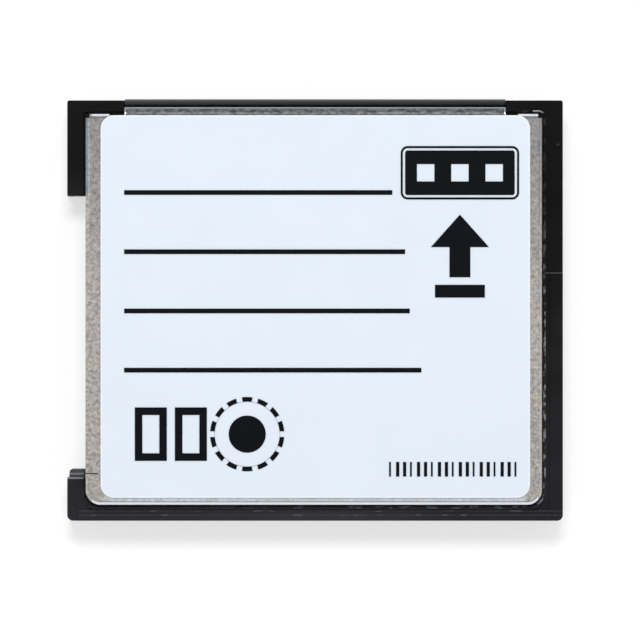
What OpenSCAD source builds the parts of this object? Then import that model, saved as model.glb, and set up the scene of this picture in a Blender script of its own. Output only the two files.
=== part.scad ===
// Adapter that lets an SD memory card plug into a CF card slot.
// X runs across the adapter, with the card slot on the -X side. +Y points at the
// 50-way connector edge and +Z out of the labelled back. The plain front cover
// lies on Z = 0. All sizes are in millimetres.

/* [Outer form] */
// Width over both side rails
body_w = 42.8; // [41.6:0.1:48]
// Length from the connector face to the trailing edge
body_l = 36.4; // [35.6:0.1:44]
// Thickness from the front cover to the top of the print
body_t = 5; // [5:0.05:6.5]
// Thickness of the side rails
rail_t = 3.3; // [3.2:0.05:3.6]
// Corner radius of the frame at its trailing edge
rear_corner_r = 0.5; // [0.2:0.05:0.8]
// Corner radius of the frame beside the connector
front_corner_r = 0.18; // [0.1:0.02:0.4]
// How far the frame corners stand back from the connector face
corner_setback = 0.1; // [0:0.05:0.3]

/* [Rails and trailing lip] */
// Length of the guide grooves from the connector edge
groove_l = 12; // [10:0.5:14]
// Depth of the guide grooves
groove_d = 0.6; // [0.4:0.05:0.8]
// Height of the left guide groove
left_groove_h = 1.6; // [1.2:0.05:1.8]
// Height of the right guide groove
right_groove_h = 2.15; // [1.9:0.05:2.4]
// Width of the finger lip along the trailing edge
lip_w = 0.9; // [0.6:0.05:1.05]
// Height of the finger lip above the rails
lip_h = 0.35; // [0.2:0.05:0.6]
// How much lower the lip's top is at its outer edge
lip_fall = 0.2; // [0:0.02:0.2]
// Distance of the lip's ends from the sides
lip_end = 1; // [0.8:0.1:2]
// Distance of the right rail's step from the connector edge
step_from_front = 15; // [13:0.5:20]
// Width of the raised outer strip behind that step
step_w = 1.1; // [0.6:0.1:1.3]
// Height of the raised outer strip
step_h = 0.12; // [0.05:0.01:0.3]

/* [Covers] */
// Thickness of the stainless sheet
sheet_t = 0.2; // [0.15:0.01:0.25]
// Outside bend radius of the back pan
bend_r = 0.35; // [0.3:0.01:0.45]
// Left side of the frame to the pan
pan_left = 1.63; // [1.5:0.01:2]
// Right side of the frame to the pan
pan_right = 1.83; // [1.5:0.01:2]
// Trailing edge to the pan
pan_rear = 1.4; // [1.3:0.01:1.8]
// Connector face to the pan's front bend
pan_front = 1.3; // [1.2:0.01:1.6]
// Corner radius of the drawn rear corners of the pan
pan_corner_r = 1.25; // [0.8:0.05:2]
// Depth of the seat that the pan's edges stand in
pan_seat = 0.3; // [0.2:0.02:0.5]
// Gap between the pan and the rails
pan_gap = 0.25; // [0.1:0.01:0.35]
// Length of each short front flange of the pan
flange_l = 1.7; // [1:0.1:2]
// Open corner between a front flange and a side flange
corner_relief = 0.35; // [0.2:0.05:0.6]
// Length of the relief slit beside the slot's rear arm
slit_l = 1.1; // [0.5:0.05:1.25]
// Width of that slit
slit_w = 0.1; // [0.06:0.01:0.2]
// Connector face to the tip of the pan's tongue
tongue_front = 0.7; // [0.6:0.05:0.9]
// Width of the frame's raised rib inside the pan
rib_w = 0.65; // [0.5:0.05:1]
// Sides of the frame to the flat front cover
front_cover_side = 1.9; // [1.7:0.05:2.2]
// Trailing edge to the flat front cover
front_cover_rear = 1.5; // [1.3:0.05:2]
// Corner radius of the front cover
front_cover_r = 1; // [0.5:0.1:2]
// Width of each locking tab on the front cover
tab_w = 1.6; // [1:0.1:3]
// Height of each locking tab
tab_h = 1; // [0.6:0.05:1.2]

/* [Label] */
// Thickness of the label film
label_t = 0.1; // [0.05:0.01:0.15]
// Thickness of the print
ink_t = 0.04; // [0.03:0.01:0.06]
// Pan's left side to the label
label_left = 1.3; // [0.6:0.05:3]
// Pan's right side to the label
label_right = 1.04; // [0.6:0.05:3]
// Pan's rear side to the label
label_rear = 0.61; // [0.5:0.05:3]
// Pan's front bend to the label
label_front = 0.13; // [0.1:0.01:1]
// Corner radius of the label
label_r = 1.15; // [0.5:0.05:2]

/* [Print] */
// Left edge of the label to the print
print_left = 2.03; // [1:0.05:3]
// Right edge of the label to the print
print_right = 0.95; // [0.6:0.05:2]
// Thickness of the writing lines
line_w = 0.4; // [0.2:0.05:0.8]
// Spacing of the writing lines
line_pitch = 5.1; // [4:0.1:5.6]
// Front edge of the label to the first writing line
line_front = 6.65; // [6:0.05:8]
// Length of the first writing line
line_l = 23.1; // [15:0.1:24]
// Width of the dark panel with tick boxes
panel_w = 10.2; // [8:0.1:11]
// Height of the dark panel
panel_h = 4.6; // [3:0.1:5]
// Front edge of the label to the dark panel
panel_front = 2.65; // [2:0.05:4]
// Corner radius of the dark panel
panel_r = 0.6; // [0.5:0.05:1]
// Line width of the ring round the panel
panel_line = 0.18; // [0.1:0.02:0.25]
// White gap between that ring and the panel
panel_gap = 0.2; // [0.1:0.02:0.25]
// Side of each open tick box
tick_w = 1.5; // [1:0.1:2]
// Spacing of the tick boxes
tick_pitch = 2.95; // [2.2:0.05:3.5]
// Width of the insertion arrow
arrow_w = 5; // [3:0.1:6]
// Height of the insertion arrow
arrow_h = 5.4; // [4:0.1:6]
// Height of the arrow's head
arrow_head = 2.8; // [2:0.1:4]
// Width of the arrow's stem
arrow_stem = 1.8; // [1:0.1:3]
// Dark panel to the tip of the arrow
arrow_gap = 1.3; // [0.5:0.1:2]
// Width of the plain bar under the arrow
bar_w = 4.3; // [3:0.1:6]
// Height of that bar
bar_h = 1.1; // [0.5:0.1:1.5]
// Arrow to the bar
bar_gap = 0.65; // [0.3:0.05:1]
// Height of the two open boxes by the rear corner
box_h = 4.6; // [3:0.1:5]
// Width of each open box
box_w = 2.76; // [2:0.02:4]
// Spacing of the open boxes
box_pitch = 3.45; // [3:0.05:5]
// Line width of the open boxes
box_line = 0.65; // [0.3:0.05:1]
// Rear edge of the label to the middle of the boxes and the ring
marks_rear = 5.5; // [4:0.1:7]
// Left edge of the print to the middle of the ring
ring_left = 10.6; // [9:0.1:12]
// Radius of the dashed ring
ring_r = 3.2; // [2.5:0.05:3.4]
// Line width of the dashed ring
ring_line = 0.4; // [0.2:0.05:0.6]
// Gap between the dashes of the ring
dash_gap = 0.5; // [0.3:0.05:0.8]
// Radius of the dot in the ring
dot_r = 1.6; // [1:0.1:2.4]
// Height of the row of bars in the rear right corner
row_h = 1.25; // [0.8:0.05:2]
// Spacing of those bars
row_pitch = 0.6; // [0.5:0.02:0.8]
// Rear edge of the label to that row
row_rear = 1.85; // [1:0.05:3]

/* [Card slot] */
// Width of the memory card
card_w = 24; // [20:0.1:24.4]
// Length of the memory card
card_l = 32; // [30:0.1:32.4]
// Thickness of the memory card
card_t = 2.1; // [1.4:0.05:2.1]
// Side clearance of the card, both sides together
card_play = 0.3; // [0.2:0.02:0.5]
// Trailing edge to the slot
slot_rear = 3.75; // [3.4:0.05:4.4]
// Width of each of the two steps at the slot's rear arm
arm_step = 0.35; // [0.2:0.05:0.5]
// Drop from the upper step to the lower one
arm_drop = 0.3; // [0.2:0.05:0.5]
// Chamfer on the steps and on the ends of the arms
arm_chamfer = 0.12; // [0.05:0.01:0.15]

/* [Connector] */
// Contacts in each of the two rows
row_count = 25; // [20:1:25]
// Contact spacing along a row and between the rows
pitch = 1.27; // [1.2:0.01:1.28]
// Last contact to the end of the housing
housing_end = 1.21; // [0.8:0.05:1.3]
// Depth of the housing behind its face
housing_d = 5.2; // [4.8:0.1:5.4]
// Depth of the housing's lip in front of the tongue
housing_lip = 0.5; // [0.35:0.05:0.6]
// Depth of the groove between that lip and the tongue
tip_groove = 0.55; // [0.25:0.05:0.6]
// Reach of each ear past the end of the housing
ear_l = 0.9; // [0.5:0.05:1.1]
// Rear of the housing to its ears
ear_inset = 1; // [0.8:0.1:2]
// Depth of an ear
ear_d = 1.5; // [1:0.1:2]
// Height of an ear
ear_h = 1.5; // [1:0.1:1.8]
// Width of a contact cavity
cavity_w = 0.6; // [0.5:0.02:0.7]
// Depth of the lead-in at a cavity's mouth
lead_in = 0.2; // [0.1:0.02:0.25]
// Width of a connector contact
contact_w = 0.3; // [0.2:0.02:0.4]
// Length of a contact's foot on the board
foot_l = 1; // [0.6:0.05:1.2]

/* [Circuit board] */
// Thickness of the board
board_t = 0.8; // [0.6:0.05:0.9]
// Clearance of the board inside the frame
board_play = 0.15; // [0.1:0.01:0.3]
// Side of the frame's pads under the board
pad_w = 1.8; // [1.4:0.1:2.2]
// Diameter of the locating pegs
peg_d = 1; // [0.8:0.05:1.1]
// Clearance of a peg in its hole, on the diameter
peg_play = 0.1; // [0.05:0.01:0.2]
// Side of the bridge chip
chip_w = 9; // [6:0.5:12]
// Thickness of the bridge chip
chip_t = 0.85; // [0.6:0.05:0.95]
// Right edge of the board to the middle of its row of tall parts
strip_inset = 2.4; // [2.2:0.1:3]
// Spacing of the tall parts along that row
strip_pitch = 5.5; // [4.6:0.1:6]
// Length of the moulded capacitor
tantalum_l = 3.5; // [3:0.1:4]
// Width of the moulded capacitor
tantalum_w = 2.8; // [2:0.1:3]
// Height of the moulded capacitor
tantalum_h = 1.7; // [1:0.1:2.2]
// Length of the oscillator crystal
crystal_l = 3.7; // [2.5:0.1:4]
// Width of the oscillator crystal
crystal_w = 3; // [2:0.1:3.2]
// Height of the oscillator crystal
crystal_h = 1; // [0.6:0.1:1.4]
// Length of the voltage regulator's body
reg_l = 2.9; // [2:0.1:3.5]
// Width of the voltage regulator's body
reg_w = 1.6; // [1.2:0.1:2]
// Height of the voltage regulator's body
reg_h = 1; // [0.8:0.1:1.4]
// Length of the small capacitors and resistors
small_l = 1.6; // [1:0.1:2]
// Width of the small capacitors and resistors
small_w = 0.8; // [0.5:0.05:1.2]
// Height of the small capacitors
small_cap_h = 0.8; // [0.5:0.05:0.95]
// Height of the small resistors
small_res_h = 0.45; // [0.3:0.05:0.8]
// Length of the metal caps at their ends
end_cap_l = 0.3; // [0.2:0.02:0.4]
// Spacing of the small capacitors above the board
top_cap_pitch = 1.5; // [1.3:0.1:1.7]
// Spacing of the small capacitors below the board
low_cap_pitch = 3; // [2.2:0.1:4]
// Bridge chip to the capacitors below the board
low_cap_gap = 2.1; // [0.5:0.1:3]
// Spacing of the resistors
res_pitch = 2.4; // [1.5:0.1:2.6]
// Connector housing to the resistors
res_gap = 3.7; // [3:0.1:4]

/* [Card socket] */
// Thickness of the insulator's floor under the card
floor_t = 0.3; // [0.25:0.01:0.34]
// Thickness of the socket's steel shell
shell_t = 0.15; // [0.1:0.01:0.18]
// Spacing of the card contacts
card_pitch = 2.5; // [2.3:0.05:2.6]
// Spacing of the last two card contacts
last_pitch = 1.7; // [1.4:0.05:2]
// Width of a card contact
spring_w = 0.7; // [0.5:0.05:0.9]
// Thickness of the spring strips
spring_t = 0.12; // [0.08:0.01:0.15]
// Thickness of the insulator's end wall
stop_t = 1.35; // [1.2:0.05:1.6]
// Card's end to where the springs touch it
touch_depth = 3.9; // [3:0.1:5]
// How far a resting spring stands up into the slot
spring_rise = 0.42; // [0.2:0.02:0.6]
// Length of the window in the shell
window_l = 14; // [8:0.5:16]
// Width of the window in the shell
window_w = 12; // [8:0.5:16]
// Length of a solder foot of the shell
shell_foot_l = 1.4; // [1:0.1:2]
// How far a solder foot reaches out
shell_foot_out = 0.75; // [0.4:0.05:0.9]
// End of the shell to its first foot
shell_foot_end = 2.5; // [1:0.1:4]
// Height of the card detect blades
detect_h = 0.9; // [0.6:0.05:1.2]
// Card's end to the write protect blade
protect_depth = 13.5; // [10:0.5:16]
// Height of the write protect blade
protect_h = 0.8; // [0.5:0.05:1.1]
// Length of the write protect blade's straight part
protect_arm = 3.2; // [2:0.1:5]
// Bend of the write protect blade to its tip
protect_lead = 1.8; // [1.2:0.1:2.4]
// Tip of the write protect blade to its free end
protect_tail = 1.2; // [0.6:0.1:1.8]
// Length of the write protect blade's root
protect_root = 1; // [0.6:0.1:1.6]

/* [Hidden] */
$fn = 48;

// Cuts run this far past the face that they open.
cut = 1;
// Play between small seated pieces
fit = 0.1;
// Play round a metal strip in its moulded slot
strip_fit = 0.03;

// Outer edges of the frame
half_w = body_w / 2;
half_l = body_l / 2;
frame_front = half_l - corner_setback;

// Heights of the layers, from the front cover up
label_z = body_t - ink_t - label_t;
pan_inner_z = label_z - sheet_t;
seat_z = rail_t - pan_seat;
row_mid_z = rail_t / 2;
board_z = row_mid_z - board_t / 2;
board_top = board_z + board_t;
floor_z = board_top + floor_t;
shell_z = pan_inner_z - shell_t;

// Edges of the back pan
pan_x0 = -half_w + pan_left;
pan_x1 = half_w - pan_right;
pan_y0 = -half_l + pan_rear;
pan_y1 = half_l - pan_front;
inner_bend_r = bend_r - sheet_t;
rib_gap = inner_bend_r + 0.05;
tongue_y = half_l - tongue_front;

// Inside edges of the frame
rib_inset = sheet_t + rib_gap;
well_x0 = pan_x0 + rib_inset + rib_w;
well_x1 = pan_x1 - rib_inset - rib_w;
well_y0 = pan_y0 + rib_inset + rib_w;
housing_y0 = half_l - housing_d;
housing_w = (row_count - 1) * pitch + 2 * housing_end;
housing_play = 0.03;

// Edges of the front cover
front_x = half_w - front_cover_side;
front_y0 = -half_l + front_cover_rear;

// Card slot, and the card pushed home in it
slot_w = card_w + card_play;
slot_y0 = -half_l + slot_rear;
slot_y1 = slot_y0 + slot_w;
slot_mid = (slot_y0 + slot_y1) / 2;
card_end = -half_w + card_l;
end_play = 0.15;
stop_x0 = card_end + end_play;
stop_x1 = stop_x0 + stop_t;

// Sill that joins the two left arms under the card
sill_x0 = pan_x0 + 0.17;
sill_wall = 0.5;
sill_ledge = 1.9;
sill_ramp = 0.3;
sill_z = floor_z - 0.05;

// Board outline
board_x0 = well_x0 + board_play;
board_x1 = well_x1 - board_play;
board_y0 = well_y0 + board_play;
board_y1 = housing_y0 - 0.25;
peg_inset = 1;

// A rectangle from lo to hi, with one radius at its rear corners and one at its front
module rounded_rect(lo, hi, rear_r, front_r) {
    polygon([
        [lo.x + rear_r, lo.y], [hi.x - rear_r, lo.y], [hi.x, lo.y + rear_r], [hi.x, hi.y - front_r],
        [hi.x - front_r, hi.y], [lo.x + front_r, hi.y], [lo.x, hi.y - front_r], [lo.x, lo.y + rear_r]
    ]);
    for (x = [lo.x + rear_r, hi.x - rear_r]) translate([x, lo.y + rear_r]) circle(rear_r);
    for (x = [lo.x + front_r, hi.x - front_r]) translate([x, hi.y - front_r]) circle(front_r);
}

// A rectangle between two corners
module rect(lo, hi) {
    translate(lo) square(hi - lo);
}

// A block between two corners
module block(lo, hi) {
    translate(lo) cube(hi - lo);
}

// Sideways step at point i of a path, for a strip of even thickness with mitred bends
function unit(v) = v / norm(v);
function across(v) = [-v.y, v.x];
function mitre(path, i) = let(
    into = unit(i > 0 ? path[i] - path[i - 1] : path[1] - path[0]),
    out = i < len(path) - 1 ? unit(path[i + 1] - path[i]) : into,
    n = across(unit(into + out))
) n / (n * across(into));

// A strip of even thickness along the middle of a path
module ribbon(path, t) {
    last = len(path) - 1;
    polygon(concat(
        [for (i = [0:last]) path[i] + mitre(path, i) * t / 2],
        [for (i = [last:-1:0]) path[i] - mitre(path, i) * t / 2]
    ));
}

// A leaf that stands on edge: its path is in plan, and it reaches from z0 to z1
module leaf(path, t, z0, z1) {
    translate([0, 0, z0]) linear_extrude(z1 - z0) ribbon(path, t);
}

// Turns a profile drawn in Y and Z so that it runs along X from x0 to x1
module along_x(x0, x1) {
    translate([x0, 0, 0]) rotate([90, 0, 90]) linear_extrude(x1 - x0) children();
}

// Turns a profile drawn in X and Z so that it runs along Y from y0 to y1
module along_y(y0, y1) {
    translate([0, y1, 0]) rotate([90, 0, 0]) linear_extrude(y1 - y0) children();
}

// Quarter of a ring, in the first quadrant
module quarter_ring(outer_r, t) {
    intersection() {
        difference() {
            circle(outer_r);
            circle(outer_r - t);
        }
        square(outer_r);
    }
}

// The frame seen from above, without the sill and the pads
module frame_plan() {
    difference() {
        rounded_rect([-half_w, -half_l], [half_w, frame_front], rear_corner_r, front_corner_r);
        rect([well_x0, well_y0], [well_x1, housing_y0]);
        rect([-housing_w / 2 - housing_play, housing_y0 - cut], [housing_w / 2 + housing_play, half_l + cut]);
        rect([-half_w - cut, slot_y0], [well_x0 + cut, slot_y1]);
    }
}

// Two low steps beside the card at the slot's rear arm, each chamfered towards the slot
module arm_steps() {
    ledge_inset = 0.15;
    ledge_r = 0.3;
    root_y = slot_y0 - ledge_r;
    step_y = slot_y0 + arm_step;
    end_y = step_y + arm_step;
    lower_z = sill_z - arm_drop;
    intersection() {
        linear_extrude(rail_t)
            rounded_rect([-half_w + ledge_inset, root_y], [well_x0, end_y], ledge_r, ledge_r);
        along_x(-half_w, well_x0) polygon([
            [root_y, 0], [root_y, sill_z], [step_y - arm_chamfer, sill_z], [step_y, sill_z - arm_chamfer],
            [step_y, lower_z], [end_y - arm_chamfer, lower_z], [end_y, lower_z - arm_chamfer], [end_y, 0]
        ]);
    }
}

// Chamfers the top edge of an arm's end at y, which faces the slot in the direction way
module arm_end_cut(y, way) {
    translate([0, y, 0]) mirror([0, way < 0 ? 1 : 0, 0])
        along_x(-half_w - cut, pan_x0 - pan_gap) polygon([
            [-arm_chamfer - cut, rail_t + cut], [-arm_chamfer, rail_t], [0, rail_t - arm_chamfer],
            [cut, rail_t - arm_chamfer - cut], [cut, rail_t + cut]
        ]);
}

// The bar under the card that carries the board's left edge and joins the arms
module sill() {
    along_y(slot_y0 - fit, slot_y1 + fit) polygon([
        [sill_x0, sheet_t], [sill_x0, sill_z - sill_ramp], [sill_x0 + sill_ramp, sill_z],
        [sill_x0 + sill_wall, sill_z], [sill_x0 + sill_wall, board_z],
        [sill_x0 + sill_ledge, board_z], [sill_x0 + sill_ledge, sheet_t]
    ]);
}

// Places for the pads under the board's corners
pad_places = [
    [well_x0, well_y0], [well_x1 - pad_w, well_y0],
    [well_x0, housing_y0 - pad_w], [well_x1 - pad_w, housing_y0 - pad_w]
];
// Places for the two locating pegs, at opposite corners of the board
peg_places = [
    [board_x1 - peg_inset, board_y0 + peg_inset],
    [board_x0 + peg_inset, board_y1 - peg_inset]
];

module board_supports() {
    peg_root = cut / 2;
    peg_tip = 0.25;
    for (p = pad_places) translate([p.x, p.y, sheet_t]) cube([pad_w, pad_w, board_z - sheet_t]);
    for (p = peg_places) translate([p.x, p.y, board_z - peg_root])
        cylinder(h = peg_root + board_t + peg_tip, d = peg_d);
}

// Where the front cover's tabs stand: position on the edge and the edge's direction
side_tab_end = 7.3;
rear_tab_end = 9.4;
arm_tab_front = 4.5;
tab_places = [
    [front_x, side_tab_end - half_l, 0], [front_x, 0, 0], [front_x, half_l - side_tab_end, 0],
    [-front_x, half_l - arm_tab_front, 180],
    [rear_tab_end - half_w, front_y0, -90], [half_w - rear_tab_end, front_y0, -90]
];
// Outside bend radius of a tab
tab_r = sheet_t + 0.1;

// One bent tab, drawn with its outer face on X = 0 and centred on Y = 0
module tab(play) {
    if (play == 0) {
        along_y(-tab_w / 2, tab_w / 2) union() {
            translate([-tab_r, tab_r]) mirror([0, 1]) quarter_ring(tab_r, sheet_t);
            rect([-sheet_t, tab_r], [0, sheet_t + tab_h]);
        }
    } else {
        block([-tab_r - play, -tab_w / 2 - play, -cut], [play, tab_w / 2 + play, sheet_t + tab_h + play]);
    }
}

module at_tabs() {
    for (p = tab_places) translate([p.x, p.y, 0]) rotate([0, 0, p.z]) children();
}

// The front cover seen from below: a plain sheet with a tongue over the connector
module front_cover_plan(play) {
    lo = [-front_x - play, front_y0 - play];
    hi = [front_x + play, pan_y1 + play];
    rounded_rect(lo, hi, front_cover_r, front_corner_r);
    rect([-housing_w / 2 - play, housing_y0], [housing_w / 2 + play, tongue_y + play]);
}

// Ears on the connector housing and their pockets in the frame: one bar right through it
module housing_ears(play) {
    ear_y = housing_y0 + ear_inset;
    reach = housing_w / 2 + ear_l + play;
    block(
        [-reach, ear_y - play, row_mid_z - ear_h / 2 - play],
        [reach, ear_y + ear_d + play, row_mid_z + ear_h / 2 + play]
    );
}

module rail_frame() {
    color("#1c1c1e") difference() {
        union() {
            difference() {
                linear_extrude(rail_t) frame_plan();
                translate([0, 0, seat_z]) linear_extrude(cut)
                    rounded_rect(
                        [pan_x0 - pan_gap, pan_y0 - pan_gap], [pan_x1 + pan_gap, pan_y1 + pan_gap],
                        pan_corner_r + pan_gap, front_corner_r + pan_gap
                    );
            }
            // Raised rib that carries the pan from inside
            translate([0, 0, seat_z]) linear_extrude(pan_inner_z - seat_z) intersection() {
                frame_plan();
                rounded_rect(
                    [pan_x0 + rib_inset, pan_y0 + rib_inset], [pan_x1 - rib_inset, pan_y1 - rib_inset],
                    pan_corner_r - rib_inset, front_corner_r
                );
            }
            // Finger lip along the trailing edge, lower towards the outside
            intersection() {
                along_x(-half_w + lip_end, half_w - lip_end) polygon([
                    [-half_l, 0], [-half_l, rail_t + lip_h - lip_fall],
                    [-half_l + lip_w, rail_t + lip_h], [-half_l + lip_w, 0]
                ]);
                linear_extrude(body_t) frame_plan();
            }
            // Raised outer strip on the right rail
            translate([0, 0, rail_t]) linear_extrude(step_h) intersection() {
                rect([half_w - step_w, -half_l], [half_w, half_l - step_from_front]);
                frame_plan();
            }
            arm_steps();
            sill();
            board_supports();
        }
        // Recess for the front cover
        translate([0, 0, -cut]) linear_extrude(cut + sheet_t) front_cover_plan(fit);
        at_tabs() tab(fit);
        housing_ears(fit);
        arm_end_cut(slot_y0, 1);
        arm_end_cut(slot_y1, -1);
        // Guide grooves
        block([half_w - groove_d, half_l - groove_l, row_mid_z - right_groove_h / 2],
            [half_w + cut, half_l + cut, row_mid_z + right_groove_h / 2]);
        block([-half_w - cut, half_l - groove_l, row_mid_z - left_groove_h / 2],
            [-half_w + groove_d, half_l + cut, row_mid_z + left_groove_h / 2]);
    }
}

module front_cover() {
    color("#b9bbbd") {
        difference() {
            linear_extrude(sheet_t) front_cover_plan(0);
            // The sheet's square edge makes way for each tab's bend
            at_tabs() block([-tab_r, -tab_w / 2, -cut], [cut, tab_w / 2, cut]);
        }
        at_tabs() tab(0);
    }
}

// Section of the pan's edge: origin at the outer top corner, wall of height h
module pan_edge(h) {
    translate([-bend_r, -bend_r]) quarter_ring(bend_r, sheet_t);
    rect([-sheet_t, -h], [0, -bend_r]);
}

// Section of the front step: down from the pan and out into the tongue
module tongue_edge() {
    bend_y = pan_y1 + inner_bend_r;
    bend_z = rail_t + inner_bend_r;
    translate([pan_y1 - bend_r, label_z - bend_r]) quarter_ring(bend_r, sheet_t);
    rect([pan_y1 - sheet_t, bend_z], [pan_y1, label_z - bend_r]);
    translate([bend_y, bend_z]) rotate(180) quarter_ring(bend_r, sheet_t);
    rect([bend_y, rail_t - sheet_t], [tongue_y, rail_t]);
}

module back_cover() {
    wall_h = label_z - seat_z;
    front_flat = pan_y1 - bend_r;
    plain_setback = 0.15;
    plain_front = pan_y1 - plain_setback;
    side_front = pan_y1 - corner_relief;
    side_rear = pan_y0 + pan_corner_r;
    flange_x0 = pan_x0 + corner_relief;
    flange_x1 = pan_x1 - corner_relief;
    slit_y = slot_y0 + arm_step - slit_w / 2;
    color("#a9a8a3") {
        // Flat of the pan, plain-edged along the slot and beside the tongue
        translate([0, 0, pan_inner_z]) linear_extrude(sheet_t) difference() {
            union() {
                rect([pan_x0 + pan_corner_r, pan_y0 + bend_r], [pan_x1 - pan_corner_r, front_flat]);
                rect([pan_x0 + bend_r, side_rear], [pan_x0 + pan_corner_r, front_flat]);
                rect([pan_x1 - pan_corner_r, side_rear], [pan_x1 - bend_r, front_flat]);
                rect([pan_x0, slot_y0], [pan_x0 + bend_r, slot_y1]);
                rect([flange_x0 + flange_l, front_flat], [-housing_w / 2, plain_front]);
                rect([housing_w / 2, front_flat], [flange_x1 - flange_l, plain_front]);
            }
            rect([pan_x0 - cut, slit_y], [pan_x0 + slit_l, slit_y + slit_w]);
        }
        // Side and rear flanges
        translate([pan_x1, 0, label_z]) along_y(side_rear, side_front) pan_edge(wall_h);
        translate([pan_x0, 0, label_z]) mirror([1, 0, 0]) {
            along_y(slot_y1, side_front) pan_edge(wall_h);
            along_y(side_rear, slot_y0) pan_edge(wall_h);
        }
        translate([0, pan_y0, label_z]) mirror([0, 1, 0])
            along_x(pan_x0 + pan_corner_r, pan_x1 - pan_corner_r) pan_edge(wall_h);
        // Drawn rear corners
        for (side = [0, 1])
            translate([side ? pan_x1 - pan_corner_r : pan_x0 + pan_corner_r, pan_y0 + pan_corner_r, label_z])
                rotate([0, 0, side ? -90 : 180]) rotate_extrude(angle = 90) {
                    translate([pan_corner_r, 0]) pan_edge(wall_h);
                    rect([0, -sheet_t], [pan_corner_r - bend_r, 0]);
                }
        // Short front flanges
        translate([0, pan_y1, label_z]) along_x(flange_x0, flange_x0 + flange_l) pan_edge(wall_h);
        translate([0, pan_y1, label_z]) along_x(flange_x1 - flange_l, flange_x1) pan_edge(wall_h);
        // Step and tongue over the connector
        along_x(-housing_w / 2, housing_w / 2) tongue_edge();
    }
}

// Edges of the label
label_lo = [pan_x0 + label_left, pan_y0 + label_rear];
label_hi = [pan_x1 - label_right, pan_y1 - label_front];
print_x0 = label_lo.x + print_left;
print_x1 = label_hi.x - print_right;

module back_label() {
    color("#e3edf6") translate([0, 0, label_z]) linear_extrude(label_t)
        rounded_rect(label_lo, label_hi, label_r, label_r);
}

// Lifts a flat shape onto the label as a film of ink
module printed() {
    translate([0, 0, label_z + label_t]) linear_extrude(ink_t) children();
}

module writing_lines() {
    // Each line runs a little further than the one before it.
    extra = [0, 1.1, 1.5, 2.5];
    color("#0b0c10") printed() for (i = [0:len(extra) - 1])
        translate([print_x0, label_hi.y - line_front - i * line_pitch - line_w / 2])
            square([line_l + extra[i], line_w]);
}

// Edges of the dark panel
panel_lo = [print_x1 - panel_w, label_hi.y - panel_front - panel_h];
panel_hi = [print_x1, label_hi.y - panel_front];

// The panel's outline, drawn in by an even inset
module panel_plan(inset) {
    step = [inset, inset];
    rounded_rect(panel_lo + step, panel_hi - step, panel_r - inset, panel_r - inset);
}

// Ringed dark panel with three open tick boxes
module tick_panel() {
    difference() {
        panel_plan(0);
        panel_plan(panel_line);
    }
    difference() {
        panel_plan(panel_line + panel_gap);
        for (i = [-1:1]) translate((panel_lo + panel_hi) / 2 + [i * tick_pitch, 0])
            square(tick_w, center = true);
    }
}

// Arrow towards the connector edge, over a plain bar
module arrow_and_bar() {
    translate([(panel_lo.x + panel_hi.x) / 2, panel_lo.y - arrow_gap]) {
        polygon([
            [0, 0], [-arrow_w / 2, -arrow_head], [-arrow_stem / 2, -arrow_head], [-arrow_stem / 2, -arrow_h],
            [arrow_stem / 2, -arrow_h], [arrow_stem / 2, -arrow_head], [arrow_w / 2, -arrow_head]
        ]);
        translate([-bar_w / 2, -arrow_h - bar_gap - bar_h]) square([bar_w, bar_h]);
    }
}

// Two open boxes and a dashed ring along the rear edge
module rear_marks() {
    mark_y = label_lo.y + marks_rear;
    dashes = 14;
    for (i = [0, 1]) translate([print_x0 + box_h / 2 + i * box_pitch, mark_y]) difference() {
        square([box_w, box_h], center = true);
        square([box_w - 2 * box_line, box_h - 2 * box_line], center = true);
    }
    translate([print_x0 + ring_left, mark_y]) {
        circle(dot_r);
        difference() {
            circle(ring_r);
            circle(ring_r - ring_line);
            for (i = [0:dashes - 1]) rotate(i * 360 / dashes) translate([ring_r, 0])
                square([2 * ring_line, dash_gap], center = true);
        }
    }
}

// Row of plain bars of three widths in the rear right corner
module bar_row() {
    bars = 19;
    thin_w = 0.16;
    widen = 0.12;
    row_x0 = print_x1 - (bars - 1) * row_pitch - thin_w - 2 * widen;
    for (i = [0:bars - 1]) translate([row_x0 + i * row_pitch, label_lo.y + row_rear])
        square([thin_w + widen * (i * i % 3), row_h]);
}

module label_marks() {
    color("#0b0c10") printed() {
        tick_panel();
        arrow_and_bar();
        rear_marks();
        bar_row();
    }
}

// Position of contact i along a connector row
function row_x(i) = (i - (row_count - 1) / 2) * pitch;

// Lead-ins of one row of cavities: two crossing wedges
module row_lead_ins(z) {
    mouth = cavity_w / 2 + lead_in;
    throat = cavity_w / 2;
    intersection() {
        along_x(-housing_w / 2, housing_w / 2) polygon([
            [half_l - lead_in, z - throat], [half_l + lead_in, z - mouth - lead_in],
            [half_l + lead_in, z + mouth + lead_in], [half_l - lead_in, z + throat]
        ]);
        for (i = [0:row_count - 1]) translate([row_x(i), 0, 0]) linear_extrude(rail_t) polygon([
            [-throat, half_l - lead_in], [throat, half_l - lead_in],
            [mouth + lead_in, half_l + lead_in], [-mouth - lead_in, half_l + lead_in]
        ]);
    }
}

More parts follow.
